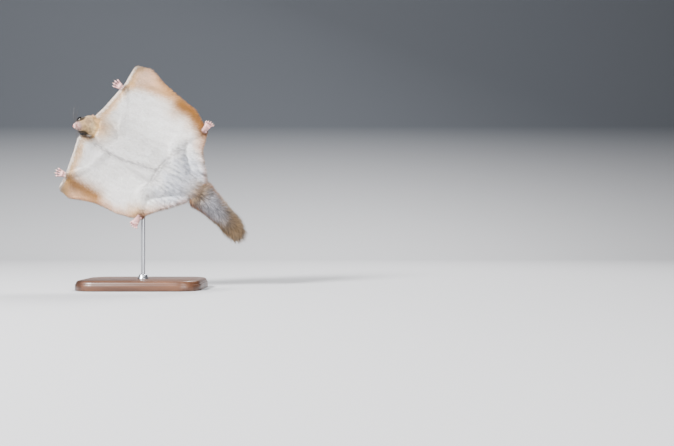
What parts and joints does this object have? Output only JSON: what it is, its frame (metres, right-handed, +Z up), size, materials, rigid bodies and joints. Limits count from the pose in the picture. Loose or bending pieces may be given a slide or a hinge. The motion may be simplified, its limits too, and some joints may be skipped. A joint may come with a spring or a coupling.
{
  "type": "flying squirrel model on a display stand",
  "caption": "Life-size flying squirrel in a banked glide, limbs and furred membranes spread, belly to the viewer, held by a rod on a wooden base.",
  "frame": {"origin": "centre of the underside of the stand's base", "axes": "+Z up; the animal glides towards -X and climbs 30 degrees in the picture plane; its belly faces -Y and its back +Y"},
  "size_m": [0.2205, 0.1083, 0.2693],
  "materials": {
    "belly_fur": "soft white fur",
    "back_fur": "dense brown-grey fur",
    "tail_fur": "brushed olive-brown fur",
    "bare_skin": "thin pink skin with a faint sheen",
    "eye": "polished dark eye",
    "stand_wood": "satin dark walnut",
    "stand_steel": "brushed steel"
  },
  "bodies": {
    "root": {"torso": "belly_fur", "neck": "belly_fur", "head": "back_fur", "ear_left": "bare_skin", "ear_right": "bare_skin", "eye_left": "eye", "eye_right": "eye", "tail": "tail_fur", "foreleg_left": "belly_fur", "foreleg_right": "belly_fur", "forefoot_left": "bare_skin", "forefoot_right": "bare_skin", "hindleg_left": "belly_fur", "hindleg_right": "belly_fur", "hindfoot_left": "bare_skin", "hindfoot_right": "bare_skin", "membrane_left": "belly_fur", "membrane_right": "belly_fur", "wing_tip_left": "belly_fur", "wing_tip_right": "belly_fur", "front_membrane_left": "belly_fur", "front_membrane_right": "belly_fur", "rear_membrane_left": "belly_fur", "rear_membrane_right": "belly_fur", "stand_base": "stand_wood", "stand_rod": "stand_steel"}
  },
  "joints": []
}
